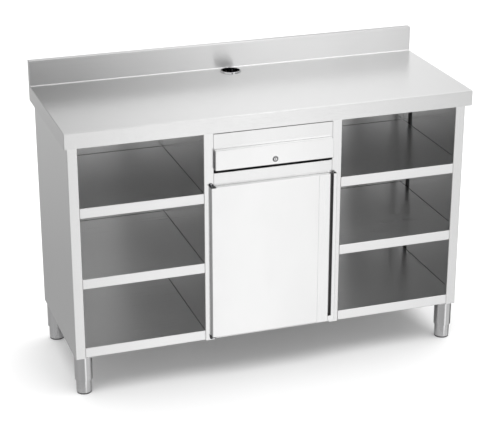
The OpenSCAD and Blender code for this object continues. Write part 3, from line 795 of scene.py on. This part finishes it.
CABLE_HOLE = (0, middle("cable_grommet", "Y"), 0)
GROMMET_SIDES = 96
GROMMET_SECTION = [(34.3, 974.8), (35.4, 974.8), (35.4, 998), (38.7, 998), (38.7, 1000.2),
                   (38.2, 1001.4), (37.3, 1002), (35.7, 1002), (34.8, 1001.5), (34.3, 1000.4)]

grommet_ring = lathed("grommet_ring", GROMMET_SECTION, rounding=0.15, sides=GROMMET_SIDES)
fit(placed(grommet_ring, CABLE_HOLE), rim_steel, "cable_grommet")

# ---- drawer lock, as (radius, distance forward of the counter's middle) ----

LOCK = (0, 0, middle("lock_plug", "Z"))
TO_FRONT = 90           # degrees, leans an upright solid over to point out of the front
BEZEL_SECTION = [(6.06, 257), (9.4, 257), (9.4, 280.3), (10.6, 280.3), (10.55, 280.8), (10.1, 281.4),
                 (9.3, 281.8), (8.4, 281.9), (7.6, 281.7), (7.0, 281.2), (6.6, 280.4), (6.06, 280.4)]
PLUG_STEPS = [(5.6, 254), (6, 254.4), (6, 281.6), (5.8, 282.1), (5.3, 282.3)]
KEY_WAY_WIDTH = 2.6
KEY_WAY_HEIGHT = 8.4
KEY_WAY_Y = (-284, -274)
KEY_WAY_REACH = 0.1     # tells the key way's walls from the plug's face


def in_key_way(spot):
    return (abs(spot.x) < KEY_WAY_WIDTH / 2 + KEY_WAY_REACH
            and abs(spot.z - LOCK[2]) < KEY_WAY_HEIGHT / 2 + KEY_WAY_REACH
            and KEY_WAY_REACH - PLUG_STEPS[-1][1] < spot.y < KEY_WAY_Y[1] + KEY_WAY_REACH)


bezel = placed(lathed("lock_bezel", BEZEL_SECTION, rounding=0.1), LOCK, TO_FRONT)
# The bezel's darkened chrome is painted shade.
fit(bezel, bezel_shade_chrome, "lock_housing")
plug = placed(turned("lock_plug_face", PLUG_STEPS), LOCK, TO_FRONT)
key_way_low = (-KEY_WAY_WIDTH / 2, KEY_WAY_Y[0], LOCK[2] - KEY_WAY_HEIGHT / 2)
key_way_high = (KEY_WAY_WIDTH / 2, KEY_WAY_Y[1], LOCK[2] + KEY_WAY_HEIGHT / 2)
cut_out(plug, block("key_way_cutter", key_way_low, key_way_high, rounding=0.2))
fit(plug, lock_chrome, "lock_plug")
# The key way's walls are made black: painted shade inside the slot.
refinish(plug, black_steel, in_key_way)

# ---- solids that keep their own shape ----

for node, solid in nodes.items():
    if not solid.hide_render:
        solid.data.materials.clear()
        solid.data.materials.append(slot_finishes[slot_of[node]])


# ---- floor, world and camera ----

def matt(name, colour):
    return Finish(name, Base_Color=colour, Roughness=0.9, Specular_IOR_Level=0.0)


def build_floor():
    """The floor that is seen, and a darker patch of it that only the steel mirrors: its darkness is
    partly the lamp's real shadow and partly painted shade.
    """
    bpy.ops.object.select_all(action="DESELECT")
    bpy.ops.mesh.primitive_plane_add(size=FLOOR_SIZE, location=(0, 0, -FLOOR_DROP))
    floor = bpy.context.object
    floor.name = "floor"
    finish = matt("floor", FLOOR_COLOUR)
    seen = finish.node("ShaderNodeLightPath", {}, {}, "Is Camera Ray")
    finish.set({"Emission Color": (1, 1, 1, 1), "Emission Strength": seen * FLOOR_GLOW})
    floor.data.materials.append(finish.material)
    floor.visible_glossy = False
    bpy.ops.mesh.primitive_plane_add(size=1, location=(0, 0, -FLOOR_DROP / 2))
    patch = bpy.context.object
    patch.name = "floor_patch"
    patch.scale = (*PATCH_SIZE, 1)
    settle(patch)
    mirrored = matt("mirrored_floor", PATCH_SHADE_COLOUR)
    x, y = mirrored.parts(mirrored.place())[:2]
    mirrored.set({"Alpha": (x.size().ramp(*PATCH_FADE_X, 1.0, 0.0)
                            * y.size().ramp(*PATCH_FADE_Y, 1.0, 0.0))})
    patch.data.materials.append(mirrored.material)
    patch.visible_camera = patch.visible_diffuse = patch.visible_shadow = False


def wall(level, across, steps):
    """A wall's level, changed by each of its steps from left to right."""
    for start, end, change in steps:
        level = level + change * across.ramp(start, end)
    return level


def between(first, second, share):
    """The first level where share is 0, and the second where it is 1."""
    return first * (1 - share) + second * share


def build_world():
    """A white studio, brightest to the front right and overhead, dimmer on its far sides."""
    world = bpy.data.worlds.new("studio")
    bpy.context.scene.world = world
    tree = Tree(world)
    x, y, z = tree.parts(tree.node("ShaderNodeTexCoord", {}, {}, "Generated"))
    across = x / (x * x + y * y).most(SHORTEST) ** 0.5
    high = z.ramp(*HIGH_WALLS)
    low_front = wall(LOW_FRONT_LEVEL, across, LOW_FRONT_STEPS)
    high_front = wall(HIGH_FRONT_LEVEL, across, HIGH_FRONT_STEPS) * z.ramp(*HIGH_FRONT_GAIN)
    low_back = wall(z.ramp(*LOW_BACK_LEVEL), across, LOW_BACK_STEPS)
    high_back = wall(HIGH_BACK_LEVEL, across, HIGH_BACK_STEPS)
    front = between(low_front, high_front, high)
    back = between(low_back, high_back, high)
    walls = between(back, front, y.ramp(*FRONT_HALF))
    ceiling = wall(CEILING_LEVEL, x, CEILING_STEPS)
    light = between(walls, ceiling, z.ramp(*CEILING)) * (1 - GROUND_SHADE * z.ramp(*GROUND))
    seen = tree.node("ShaderNodeLightPath", {}, {}, "Is Camera Ray")
    background = tree.tree.nodes["Background"]
    tree.join((1, 1, 1, 1), background.inputs["Color"])
    tree.join(seen + (1 - seen) * light, background.inputs["Strength"])


def build_lamp():
    """A wide soft lamp overhead, for the floor's shadow. The steel doesn't mirror it."""
    bpy.ops.object.light_add(type="SUN", location=(0, 0, LAMP_HEIGHT))
    lamp = bpy.context.object
    lamp.data.energy = LAMP_LEVEL
    lamp.data.angle = math.radians(LAMP_WIDTH)
    lamp.visible_glossy = False


def build_camera():
    data = bpy.data.cameras.new("camera")
    data.lens = CAMERA_LENS
    data.sensor_width = SENSOR_WIDTH
    camera = bpy.data.objects.new("camera", data)
    bpy.context.scene.collection.objects.link(camera)
    turn = (Matrix.Rotation(-math.radians(CAMERA_HEADING), 4, "Z")
            @ Matrix.Rotation(math.radians(90 - CAMERA_TILT), 4, "X")
            @ Matrix.Rotation(math.radians(CAMERA_ROLL), 4, "Z"))
    camera.matrix_world = Matrix.Translation(CAMERA_PLACE) @ turn
    bpy.context.scene.camera = camera


build_camera()
build_world()
build_lamp()
build_floor()
bpy.context.scene.view_settings.view_transform = "Standard"
